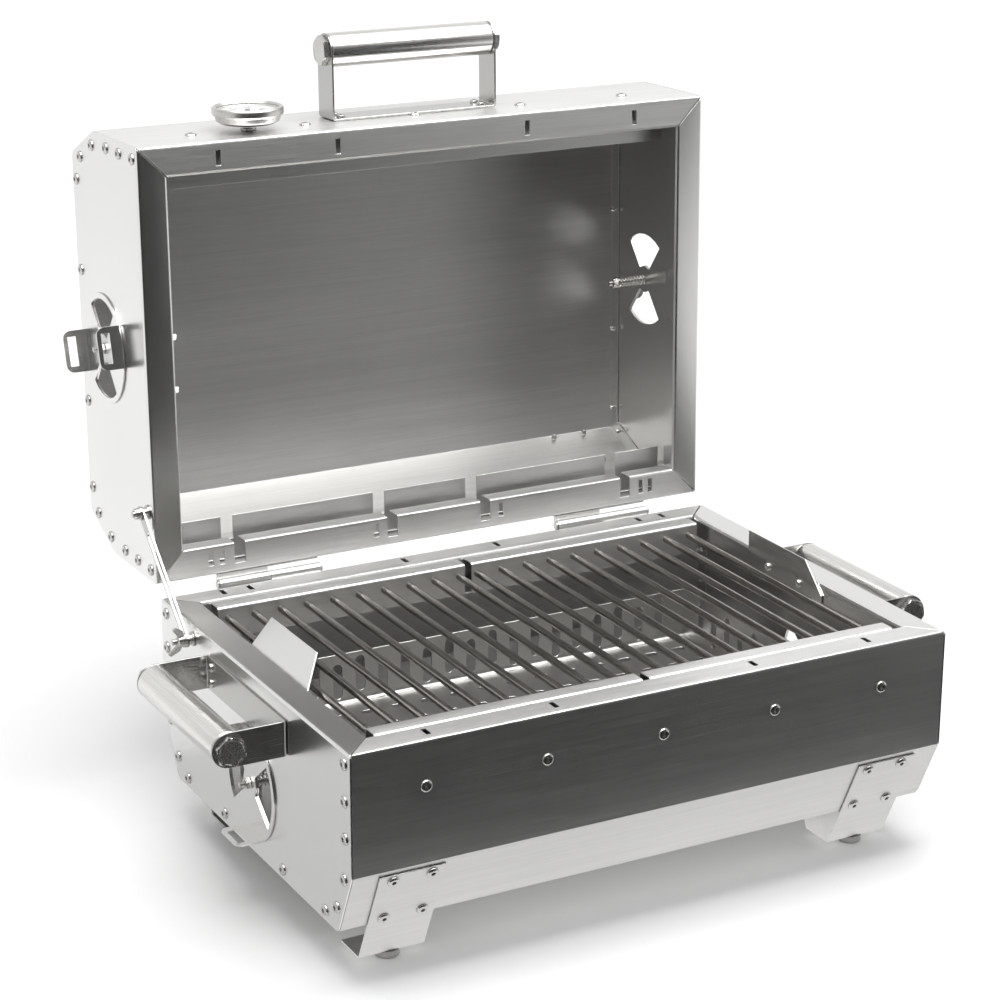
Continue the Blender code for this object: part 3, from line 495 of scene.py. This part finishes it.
def hexHead(name, flats, thick):
    # a hexagon bar with its corners turned off and a slightly dished top
    corner = flats / 2 / cos(pi / 6)
    levels = [(0.0, 1.0, 1.0), (0.80, 1.0, 1.0), (0.93, 1.0, 0.965), (1.0, 1.0, 0.90), (1.0, 0.86, 0.80),
              (0.96, 0.84, 0.76)]
    bm = bmesh.new()
    rings = [hexRing(flats * scale, thick * level, 48, corner * limit) for level, scale, limit in levels]
    addRings(bm, rings)
    return pieceFrom(name, bm, "fastenerSteel", angle=25)


def gripBolts(tag, axis):
    node = "handle_bolt_" + tag
    low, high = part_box(node)
    centre = (low + high) / 2
    reach = (high - low)["xyz".index(axis)] / 2
    source = hexHead("head", grip["flats"], grip["headThick"] - 0.0002)
    spots = []
    for sign in (-1, 1):
        outward = directions[axis] * sign
        start = centre + outward * (reach - grip["headThick"])
        spots.append(facing(start, outward, radians(grip["boltTurn"])))
    ob = scattered(f"grip_bolts_{tag}", source, spots, bodyOf[node], 12)
    discard(source)
    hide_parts(node)


def smallScrewHead(name, radius, height):
    # low round head with a hexagon socket
    count = 24
    turns = [2 * pi * i / count for i in range(count)]
    rings = []
    for wide, level in ((1.0, 0.0), (1.0, 0.45), (0.88, 0.85), (0.66, 1.0)):
        rings.append([(radius * wide * cos(a), radius * wide * sin(a), height * level) for a in turns])
    for level in (1.0, 0.35):
        rings.append(hexRing(radius * 0.84, height * level, count, radius))
    bm = bmesh.new()
    addRings(bm, rings)
    return pieceFrom(name, bm, "fastenerSteel", angle=30)


footBolt = {"radius": 0.0036, "height": 0.0022, "apart": 0.0125, "inside": 0.0100, "strap": 0.0018,
            "lidDepth": 0.0495}
screwSource = smallScrewHead("screwHead", footBolt["radius"], footBolt["height"])


def footBolts(tag, axis, outward):
    low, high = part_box("handle_bracket_" + tag)
    outward = Vector(outward)
    along = directions[axis]
    across = outward.cross(along)
    tubeLow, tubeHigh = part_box("handle_tube_" + tag)
    middle = (tubeLow + tubeHigh) / 2
    if tag == "lid":
        top = lidPlace @ Vector((middle.x, deep + footBolt["strap"], -footBolt["lidDepth"]))
    else:
        top = Vector((outward.x * (half + footBolt["strap"]), middle.y, middle.z))
    reach = (high - low)["xyz".index(axis)] / 2 - footBolt["inside"]
    spots = []
    for sign in (-1, 1):
        for up in (-1, 1):
            spots.append(facing(top + along * sign * reach + across * up * footBolt["apart"] / 2, outward))
    scattered(f"grip_foot_bolts_{tag}", screwSource, spots, bodyOf["handle_bracket_" + tag])


lidOut = (lidPlace.to_3x3() @ Vector((0, 1, 0))).normalized()
for tag, axis, outward in (("left", "y", (-1, 0, 0)), ("right", "y", (1, 0, 0)), ("lid", "x", lidOut)):
    gripTube(tag, axis)
    gripBolts(tag, axis)
    footBolts(tag, axis, outward)
print("handles")

# ---------- dampers
damper = {"y": 0.1720, "depth": 0.0885, "springR": 0.0040, "wire": 0.0008, "turns": 9, "springAt": 0.0012,
          "springStart": 0.0014, "springEnd": 0.0285, "threadR": 0.0024, "pitch": 0.0010,
          "inner": (0.0, 0.0378), "outer": (0.0003, 0.0104), "nutFlats": 0.0082, "nutThick": 0.0040,
          "innerNut": 0.0301, "outerNut": 0.0019, "washerAt": 0.0292, "washerIn": 0.0026,
          "washerOut": 0.0052, "washerThick": 0.0008}


def helixCurve(name, place):
    curve = bpy.data.curves.new(name, "CURVE")
    curve.dimensions = "3D"
    curve.bevel_depth = damper["wire"]
    curve.bevel_resolution = 2
    curve.use_fill_caps = True
    spline = curve.splines.new("POLY")
    r, start, end = damper["springR"], damper["springStart"], damper["springEnd"]
    count = damper["turns"] * 16
    spline.points.add(count)
    for i in range(count + 1):
        share = i / count
        angle = 2 * pi * damper["turns"] * share
        point = place @ Vector((r * cos(angle), r * sin(angle), start + (end - start) * share))
        spline.points[i].co = (*point, 1)
    ob = newObject(name, curve)
    curve.materials.append(materials["fastenerSteel"])
    return ob


def screwThread(place, low, high):
    # fine ridges of a rolled thread
    radius, pitch = damper["threadR"], damper["pitch"]
    count = int((high - low) / pitch)
    profile = [(core, high), (radius * 0.8, high)]
    for i in range(count):
        top = high - i * pitch - 0.0003
        profile += [(radius, top), (radius * 0.86, top - pitch / 2)]
    profile += [(radius, low), (core, low)]
    return turned("thread", profile, 16, "fastenerSteel", place, 60)


def damperNut(place, height):
    nut = hexHead("nut", damper["nutFlats"], damper["nutThick"])
    nut.data.transform(place @ Matrix.Translation((0, 0, height)))
    return nut


def damperFittings(tag, place, side, word):
    point = (side * half, damper["y"], -damper["depth"])
    inward = place @ facing(point, (-side, 0, 0))
    outward = place @ facing(point, (side, 0, 0))
    spring = helixCurve(f"{tag}_spring_{word}", inward @ Matrix.Translation((0, 0, damper["springAt"])))
    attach(spring, tag)
    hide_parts(f"{tag}_damper_spring_{word}")
    parts = [screwThread(inward, *damper["inner"]), damperNut(inward, damper["innerNut"])]
    parts += [damperNut(outward, damper["outerNut"]), screwThread(outward, *damper["outer"])]
    r0, r1, thick = damper["washerIn"], damper["washerOut"], damper["washerThick"]
    washer = [(r0, thick), (r1, thick), (r1, 0.0), (r0, 0.0)]
    seat = inward @ Matrix.Translation((0, 0, damper["washerAt"]))
    parts.append(turned("washer", washer, 24, "fastenerSteel", seat, 30))
    ob = joined(f"{tag}_damper_bolt_{word}", parts, "fastenerSteel")
    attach(ob, tag)
    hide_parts(f"{tag}_damper_screw_{word}")


for tag, place in places.items():
    for side, word in ((-1, "left"), (1, "right")):
        damperFittings(tag, place, side, word)
print("dampers")

# ---------- grates
grate = {"rodR": 0.0029, "pitch": 0.0225, "first": 0.0083, "count": 10, "rodDepth": 0.0102, "x0": 0.0030,
         "x1": 0.2190, "near": 0.0248, "width": 0.0160, "top": 0.0006, "sheet": 0.0012, "foot": 0.0257,
         "skirt": 0.0110, "bend": 0.0024, "ends": 0.0385, "edge": 0.0004}


def grateRods(side, word, node):
    r, ends, edge = grate["rodR"], grate["ends"], grate["edge"]
    profile = [(core, deep - ends), (r - edge, deep - ends), (r, deep - ends - edge)]
    profile += [(r, ends + edge), (r - edge, ends), (core, ends)]
    place = basePlace @ facing((side * grate["first"], 0, -grate["rodDepth"]), (0, 1, 0))
    ob = turned(f"grate_rods_{word}", profile, 28, "rodSteel", place, 40)
    array = ob.modifiers.new("row", "ARRAY")
    array.use_relative_offset = False
    array.use_constant_offset = True
    array.constant_offset_displace = (side * grate["pitch"], 0, 0)
    array.count = grate["count"]
    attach(ob, bodyOf[node])
    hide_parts(node)


def grateBracket(side, word, node, back):
    # short front skirt, flat top, long leg down to the rail
    near, far, top = grate["near"], grate["near"] + grate["width"], -grate["top"]
    r, chord = grate["bend"], 0.0007
    path = [(near, -grate["skirt"]), (near, top - r), (near + chord, top - chord), (near + r, top)]
    path += [(far - r, top), (far - chord, top - chord), (far, top - r), (far, -grate["foot"])]
    bm = bmesh.new()
    rows = []
    for x in (grate["x0"], grate["x1"]):
        rows.append([bm.verts.new((side * x, deep - y if back else y, z)) for y, z in path])
    for i in range(len(path) - 1):
        bm.faces.new((rows[0][i], rows[0][i + 1], rows[1][i + 1], rows[1][i]))
    bm.faces.ensure_lookup_table()
    bm.normal_update()
    if bm.faces[3].normal.z < 0:
        bmesh.ops.reverse_faces(bm, faces=bm.faces)
    mesh = meshFrom("strip", bm)
    mesh.transform(basePlace)
    smoothByAngle(mesh, 50)
    row = "rear" if back else "front"
    ob = addMaterial(newObject(f"grate_{word}_{row}", mesh), "wallSteel")
    solid = ob.modifiers.new("sheet", "SOLIDIFY")
    solid.thickness = grate["sheet"]
    solid.offset = -1
    addBevel(ob, 0.0002, 2, 50)
    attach(ob, bodyOf[node])


for side, word in ((-1, "left"), (1, "right")):
    node = "grate_" + word
    grateRods(side, word, node)
    for back in (False, True):
        grateBracket(side, word, node, back)
print("grates")

# ---------- charcoal tray
tray = {"half": 0.2050, "y0": 0.0440, "y1": 0.3000, "floor": -0.0990, "top": -0.0560, "bend": 0.0050,
        "sheet": 0.0010, "legFloor": 0.0015, "legFoot": 0.040, "legTop": 0.050, "legGap": 0.012}
slot = {"wide": 0.0080, "long": 0.0300, "pitch": 0.0200, "low": 0.0050, "high": 0.0095, "middle": 0.0145,
        "reach": 0.004}
ashSlot = {"wide": 0.0060, "long": 0.0130, "pitchX": 0.0262, "pitchY": 0.0290, "shift": 0.0065}


def roundedSlot(bm, centre, width, length, axes):
    # a slot with round ends, pushed through along the third axis
    a, b, c = axes
    ring = []
    for end in (1, -1):
        for i in range(9):
            angle = (0 if end > 0 else pi) + pi * i / 8
            ring.append((width / 2 * cos(angle), end * (length - width) / 2 + width / 2 * sin(angle)))
    loops = []
    for depth in (-slot["reach"], slot["reach"]):
        loop = []
        for u, v in ring:
            co = Vector(centre)
            co[a] += u
            co[b] += v
            co[c] += depth
            loop.append(co)
        loops.append(loop)
    addRings(bm, loops)


def upright(i):
    # the slots of a wall stand by turns low and high
    return tray["floor"] + (slot["low"] if i % 2 else slot["high"]) + slot["middle"]


def cutWith(ob, bm):
    bmesh.ops.recalc_face_normals(bm, faces=bm.faces)
    mesh = meshFrom("cutter", bm)
    cutter = newObject("cutter", mesh)
    cut = ob.modifiers.new("cut", "BOOLEAN")
    cut.operation = "DIFFERENCE"
    cut.solver = "EXACT"
    cut.object = cutter
    applyStack(ob)
    discard(cutter)


def traySheet(ob, slots):
    # cut the slots, set the piece in the box and ease its edges
    cutWith(ob, slots)
    ob.data.transform(basePlace)
    smoothByAngle(ob.data)
    addMaterial(ob, "traySteel")
    addBevel(ob, 0.0002, 1, 40)
    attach(ob, "tray")


def trayTrough():
    y0, y1, floor, top, r = (tray[key] for key in ("y0", "y1", "floor", "top", "bend"))
    turns = (pi / 8, pi / 4, 3 * pi / 8)
    path = [(y0, top), (y0, floor + r)]
    path += [(y0 + r - r * cos(a), floor + r - r * sin(a)) for a in turns]
    path += [(y0 + r, floor), (y1 - r, floor)]
    path += [(y1 - r + r * sin(a), floor + r - r * cos(a)) for a in turns]
    path += [(y1, floor + r), (y1, top)]
    bm = bmesh.new()
    rows = [[bm.verts.new((x, y, z)) for y, z in path] for x in (-tray["half"], tray["half"])]
    for i in range(len(path) - 1):
        bm.faces.new((rows[0][i], rows[1][i], rows[1][i + 1], rows[0][i + 1]))
    mesh = meshFrom("trayTrough", bm)
    ob = newObject("tray_trough", mesh)
    solid = ob.modifiers.new("sheet", "SOLIDIFY")
    solid.thickness = tray["sheet"]
    solid.offset = 1
    applyStack(ob)
    slots = bmesh.new()
    mid = (y0 + y1) / 2
    for i in range(19):
        for y in (y0, y1):
            centre = ((i - 9) * slot["pitch"], y, upright(i))
            roundedSlot(slots, centre, slot["wide"], slot["long"], (0, 2, 1))
    for i in range(15):
        for k in range(8):
            x = (i - 7) * ashSlot["pitchX"] + (0.0 if k % 2 else ashSlot["shift"])
            centre = (x, mid + (k - 3.5) * ashSlot["pitchY"], floor)
            roundedSlot(slots, centre, ashSlot["wide"], ashSlot["long"], (1, 0, 2))
    traySheet(ob, slots)
    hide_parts("charcoal_tray")


def trayEnd(side, word):
    # end plate with two feet that stand on the box floor
    y0, y1, floor, top = (tray[key] for key in ("y0", "y1", "floor", "top"))
    footZ = tray["legFloor"] - walls["shell"]
    archZ = floor - tray["legGap"]
    outline = [(y0, top), (y0, footZ), (y0 + tray["legFoot"], footZ), (y0 + tray["legTop"], archZ)]
    outline += [(y1 - tray["legTop"], archZ), (y1 - tray["legFoot"], footZ), (y1, footZ), (y1, top)]
    bm = bmesh.new()
    faces = (side * tray["half"], side * (tray["half"] + tray["sheet"]))
    addRings(bm, [[(x, y, z) for y, z in outline] for x in faces])
    ob = pieceFrom("tray_end_" + word, bm, "traySteel")
    slots = bmesh.new()
    for i in range(11):
        centre = (side * tray["half"], (y0 + y1) / 2 + (i - 5) * slot["pitch"], upright(i))
        roundedSlot(slots, centre, slot["wide"], slot["long"], (1, 2, 0))
    traySheet(ob, slots)


trayTrough()
for side, word in ((-1, "left"), (1, "right")):
    trayEnd(side, word)
print("tray")

# ---------- feet
pad = {"soft": 0.0012}


def footPad(node):
    low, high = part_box(node)
    centre = (low + high) / 2
    r, h, soft = (high - low).x / 2, (high - low).z, pad["soft"]
    profile = [(core, h), (r, h)]
    profile += [(r - soft + soft * cos(a), soft - soft * sin(a)) for a in (0, pi / 6, pi / 3, pi / 2)]
    profile.append((core, 0.0))
    place = Matrix.Translation((centre.x, centre.y, low.z))
    ob = turned(node + "_soft", profile, 40, "padGrey", place)
    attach(ob, bodyOf[node])
    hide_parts(node)


for row in ("front", "rear"):
    for word in ("left", "right"):
        footPad(f"foot_pad_{row}_{word}")
print("foot pads")

# ---------- thermometer
dial = {"x": -0.144, "depth": 0.0346, "base": 0.0083, "under": 0.0047, "radius": 0.0282, "glass": 0.0243,
        "ink": 0.00645, "tickOuter": 0.0215, "numbersAt": 0.0145, "numberSize": 0.0042, "firstAngle": 215}
dialPlace = lidPlace @ Matrix.Translation((dial["x"], deep, -dial["depth"]))
dialPlace = dialPlace @ Matrix.Rotation(-pi / 2, 4, "X")


def dialCase():
    b, r, g, under = (dial[key] for key in ("base", "radius", "glass", "under"))
    bowl = [(core, 0.0055), (g + 0.0004, 0.0055), (g + 0.0004, 0.0092), (g + 0.0010, 0.0100)]
    rim = [(0.0022, 0.0108), (0.0009, 0.0105), (0.0002, 0.0096), (0.0, 0.0085), (0.0001, 0.0052),
           (0.0008, 0.0042), (0.0022, 0.0038), (0.0026, 0.0030)]
    profile = [(radius, b + height) for radius, height in bowl]
    profile += [(r - inset, b + height) for inset, height in rim]
    profile += [(r - 0.0029, under + 0.0046), (r - 0.0036, under + 0.0030), (0.0215, under + 0.0012)]
    profile += [(0.0085, under), (core, under)]
    ob = turned("dial_case", profile, 96, "polishedSteel", dialPlace, 28)
    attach(ob, "lid")
    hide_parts("thermometer_case")


def dialFace():
    b, g = dial["base"], dial["glass"]
    plate, top, under = g - 0.0002, b + 0.0064, b + 0.0058
    profile = [(core, top), (plate, top), (plate, under), (core, under)]
    ob = turned("dial_face", profile, 64, "dialWhite", dialPlace)
    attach(ob, "lid")
    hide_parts("thermometer_face")
    dome = [(core, 0.0091), (g * 0.6, 0.0089), (g, 0.0084), (g, 0.0082), (core, 0.0082)]
    dome = [(radius, b + height) for radius, height in dome]
    lens = turned("dial_lens", dome, 64, "dialGlass", dialPlace)
    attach(lens, "lid")
    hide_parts("thermometer_glass")


def dialMarks():
    # scale ticks around 250 degrees of arc, longer at each fifth
    bm = bmesh.new()
    z = dial["base"] + dial["ink"]
    for i in range(26):
        angle = radians(dial["firstAngle"] - 10 * i)
        long = 0.0040 if i % 5 == 0 else 0.0022
        wide = 0.00045 if i % 5 == 0 else 0.00025
        run = Vector((cos(angle), sin(angle), 0))
        across = Vector((-run.y, run.x, 0)) * wide
        outer, inner = run * dial["tickOuter"], run * (dial["tickOuter"] - long)
        corners = [outer + across, outer - across, inner - across, inner + across]
        addRings(bm, [[(c.x, c.y, height) for c in corners] for height in (z - 0.0001, z)])
    ob = pieceFrom("dial_marks", bm, "dialBlack", dialPlace)
    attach(ob, "lid")


def dialNumbers():
    for i in range(6):
        angle = radians(dial["firstAngle"] - 50 * i)
        text = bpy.data.curves.new("number", "FONT")
        text.body = str(50 + 50 * i)
        text.size = dial["numberSize"]
        text.align_x = "CENTER"
        text.align_y = "CENTER"
        text.extrude = 0.00005
        holder = newObject("number", text)
        mesh = bpy.data.meshes.new_from_object(holder.evaluated_get(bpy.context.evaluated_depsgraph_get()))
        bpy.data.objects.remove(holder)
        at = dial["numbersAt"]
        spot = Matrix.Translation((at * cos(angle), at * sin(angle), dial["base"] + dial["ink"]))
        mesh.transform(dialPlace @ spot)
        ob = addMaterial(newObject(f"dial_number_{i}", mesh), "dialBlack")
        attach(ob, "lid")


dialCase()
dialFace()
dialMarks()
dialNumbers()
softened("thermometer_needle", "dialBlack", 0.0001)
print("thermometer")

# ---------- small screws and the stay's stud
lip = {"rim": 0.0243, "gap": 0.0003, "guide": 0.0012, "guideSpots": [(0.203, 0.0086), (0.159, 0.0089)],
       "lidSpots": [(0.1950, 0.0089), (0.1530, 0.0089)]}
lidScrew = {"nutFlats": 0.0048, "nutThick": 0.0042, "flushRadius": 0.0034, "flushHeight": 0.0002}


def lipSpots(place, side, inset, spots):
    x = side * (half - lip["rim"] - inset)
    return [place @ facing((x, y, -depth), (-side, 0, 0)) for y, depth in spots]


def guideScrews():
    spots = []
    for side in (-1, 1):
        spots += lipSpots(basePlace, side, lip["gap"] + lip["guide"], lip["guideSpots"])
    scattered("guide_screws", screwSource, spots, "base")


def lidScrews():
    # two holes in each lid lip: nuts on the left, flush heads on the right, where a guide plate passes
    nut = hexHead("longNut", lidScrew["nutFlats"], lidScrew["nutThick"])
    flush = smallScrewHead("flushHead", lidScrew["flushRadius"], lidScrew["flushHeight"])
    for side, source, word in ((-1, nut, "nuts"), (1, flush, "screws")):
        scattered("lid_rim_" + word, source, lipSpots(lidPlace, side, 0, lip["lidSpots"]), "lid", 20)
        discard(source)


guideScrews()
lidScrews()


shank = {"radius": 0.0020, "past": 0.0006}


def stayShank():
    # the part of the stud that passes through the arm's slot
    low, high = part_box("stay_arm")
    studLow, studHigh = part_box("stay_stud")
    centre = (studLow + studHigh) / 2
    r, reach = shank["radius"], (high.x - low.x) / 2 + shank["past"]
    profile = [(core, reach), (r, reach), (r, -reach), (core, -reach)]
    place = facing(((low.x + high.x) / 2, centre.y, centre.z), (1, 0, 0))
    ob = turned("stay_shank", profile, 20, "fastenerSteel", place)
    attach(ob, "base")


stayShank()
discard(screwSource)
print("screws")


# ---------- studio
def flatSheet(name, w, h):
    mesh = bpy.data.meshes.new(name)
    mesh.from_pydata([(-w, -h, 0), (w, -h, 0), (w, h, 0), (-w, h, 0)], [], [(0, 1, 2, 3)])
    return newObject(name, mesh)


def card(name, size, place, power):
    # a reflector or a shade seen only in the metal
    ob = flatSheet(name, size[0] / 2, size[1] / 2)
    ob.matrix_world = place
    mat, tree, shader = newMaterial(name)
    shader.inputs["Base Color"].default_value = (0, 0, 0, 1)
    shader.inputs["Specular IOR Level"].default_value = 0
    shader.inputs["Roughness"].default_value = 1
    shader.inputs["Emission Color"].default_value = (1, 1, 1, 1)
    shader.inputs["Emission Strength"].default_value = power
    ob.data.materials.append(mat)
    ob.visible_camera = False
    ob.visible_diffuse = False
    ob.visible_shadow = False
    ob.visible_transmission = False


def areaLight(name, size, spot, aim, power):
    light = bpy.data.lights.new(name, "AREA")
    light.shape = "RECTANGLE"
    light.size, light.size_y = size
    light.energy = power
    ob = newObject(name, light)
    ob.matrix_world = facing(spot, Vector(spot) - Vector(aim))


# the floor's glow strength is painted light that grows with distance from the object
ground = {"reach": 14, "drop": 0.0004, "dark": 0.90, "light": 0.92, "paintedGlow": 0.34, "near": 0.45, "far": 1.60}


def floorPlane():
    # a pale floor with painted light: it glows more the further it is from the object, so it reads darker near the
    # object as painted shade
    ob = flatSheet("floor", ground["reach"], ground["reach"])
    ob.location.z = -ground["drop"]
    mat, tree, shader = newMaterial("paleFloor")
    cloud = stretchedNoise(tree, (1.5, 1.5, 1.5), 2)
    colour = colourMix(tree, cloud, (ground["dark"],) * 3, (ground["light"],) * 3)
    tree.links.new(colour, shader.inputs["Base Color"])
    coord = tree.nodes.new("ShaderNodeTexCoord")
    reachOut = tree.nodes.new("ShaderNodeVectorMath")
    reachOut.operation = "LENGTH"
    tree.links.new(coord.outputs["Object"], reachOut.inputs[0])
    # painted light: emission rising from none near the object to full strength far off
    paintedGlow = mapped(tree, reachOut.outputs["Value"], 0.0, ground["paintedGlow"], ground["near"], ground["far"])
    shader.inputs["Emission Color"].default_value = (1, 1, 1, 1)
    tree.links.new(paintedGlow, shader.inputs["Emission Strength"])
    shader.inputs["Roughness"].default_value = 0.6
    shader.inputs["Specular IOR Level"].default_value = 0.2
    ob.data.materials.append(mat)


skyStrength = 0.75


def studioWorld():
    world = bpy.data.worlds.new("studio")
    scene.world = world
    world.use_nodes = True
    sky = world.node_tree.nodes["Background"]
    sky.inputs["Color"].default_value = (1, 1, 1, 1)
    sky.inputs["Strength"].default_value = skyStrength


view = {"azimuth": -28.384, "elevation": 18.4134, "roll": 0.2035, "distance": 2.0242, "lens": 97.01,
        "target": (-0.0432, 0.17, 0.1001)}


def mainCamera():
    target = basePlace @ Vector(view["target"])
    a, e = radians(view["azimuth"]), radians(view["elevation"])
    back = Vector((sin(a) * cos(e), -cos(a) * cos(e), sin(e)))
    data = bpy.data.cameras.new("camera")
    data.lens = view["lens"]
    data.sensor_width = 36
    data.clip_start, data.clip_end = 0.05, 60
    cam = newObject("camera", data)
    turn = (-back).to_track_quat("-Z", "Y").to_matrix().to_4x4()
    turn = turn @ Matrix.Rotation(radians(view["roll"]), 4, "Z")
    cam.matrix_world = Matrix.Translation(target + back * view["distance"]) @ turn
    scene.camera = cam


overhead = {"size": (1.7, 0.80), "spot": (0.05, -0.10, 1.45), "aim": (0.05, -0.10, 0), "power": 20}
# size, place and strength
cards = {
    "overheadGlow": ((1.7, 1.0), Matrix.Translation((0.05, -0.36, 1.44)), 9),
    "frontFlag": ((6.0, 2.2), facing((-0.8, -2.2, 0.9), (0, 1, 0)), 0.02),
    "floorFlag": ((3.7, 2.2), Matrix.Translation((-1.0, -1.43, 0.003)), 0.02),
    "floorGlow": ((0.56, 0.16), Matrix.Translation((0.0, -0.235, 0.002)), 1.1),
    "leftShade": ((0.30, 0.42), Matrix.Translation((-0.412, -0.02, 0.003)), 0.72),
    "rightShade": ((0.60, 0.70), Matrix.Translation((0.66, -0.02, 0.003)), 0.30),
    "backGlow": ((10.0, 5.0), facing((0.5, 4.5, 2.3), (0, -1, 0)), 1.0),
}
floorPlane()
studioWorld()
areaLight("overheadBox", **overhead)
for name, (size, place, power) in cards.items():
    card(name, size, place, power)
mainCamera()
scene.view_settings.view_transform = "Standard"
print("studio")
